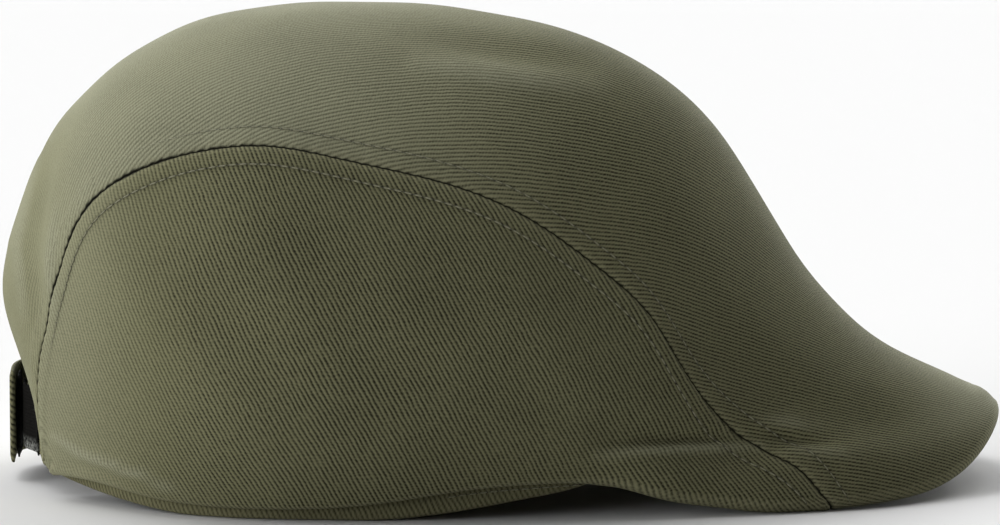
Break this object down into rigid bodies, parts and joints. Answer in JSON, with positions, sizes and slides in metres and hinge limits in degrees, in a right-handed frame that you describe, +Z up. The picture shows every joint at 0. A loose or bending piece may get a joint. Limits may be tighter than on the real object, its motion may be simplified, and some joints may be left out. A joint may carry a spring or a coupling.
{
  "type": "duckbill flat cap",
  "caption": "Soft peaked cap with a one-piece top and peak cover, two side panels, an inner band, a stiff curved peak and a closing strap behind.",
  "frame": {"origin": "middle of the bounding box in plan, at the level of the surface that the cap rests on", "axes": "+X from the back of the cap to the tip of the peak, +Y to the wearer's left, +Z up"},
  "size_m": [0.2651, 0.1748, 0.1259],
  "materials": {
    "twill": "olive cotton twill with a dry matt face",
    "band_twill": "the same twill on the hidden inner side",
    "tape": "black woven hook and loop tape"
  },
  "bodies": {
    "root": {"top_panel": "twill", "side_panel_right": "twill", "side_panel_left": "twill", "band": "band_twill", "peak": "band_twill", "strap": "twill", "strap_tab": "twill", "hook_tape": "tape", "loop_tape": "tape"}
  },
  "joints": []
}
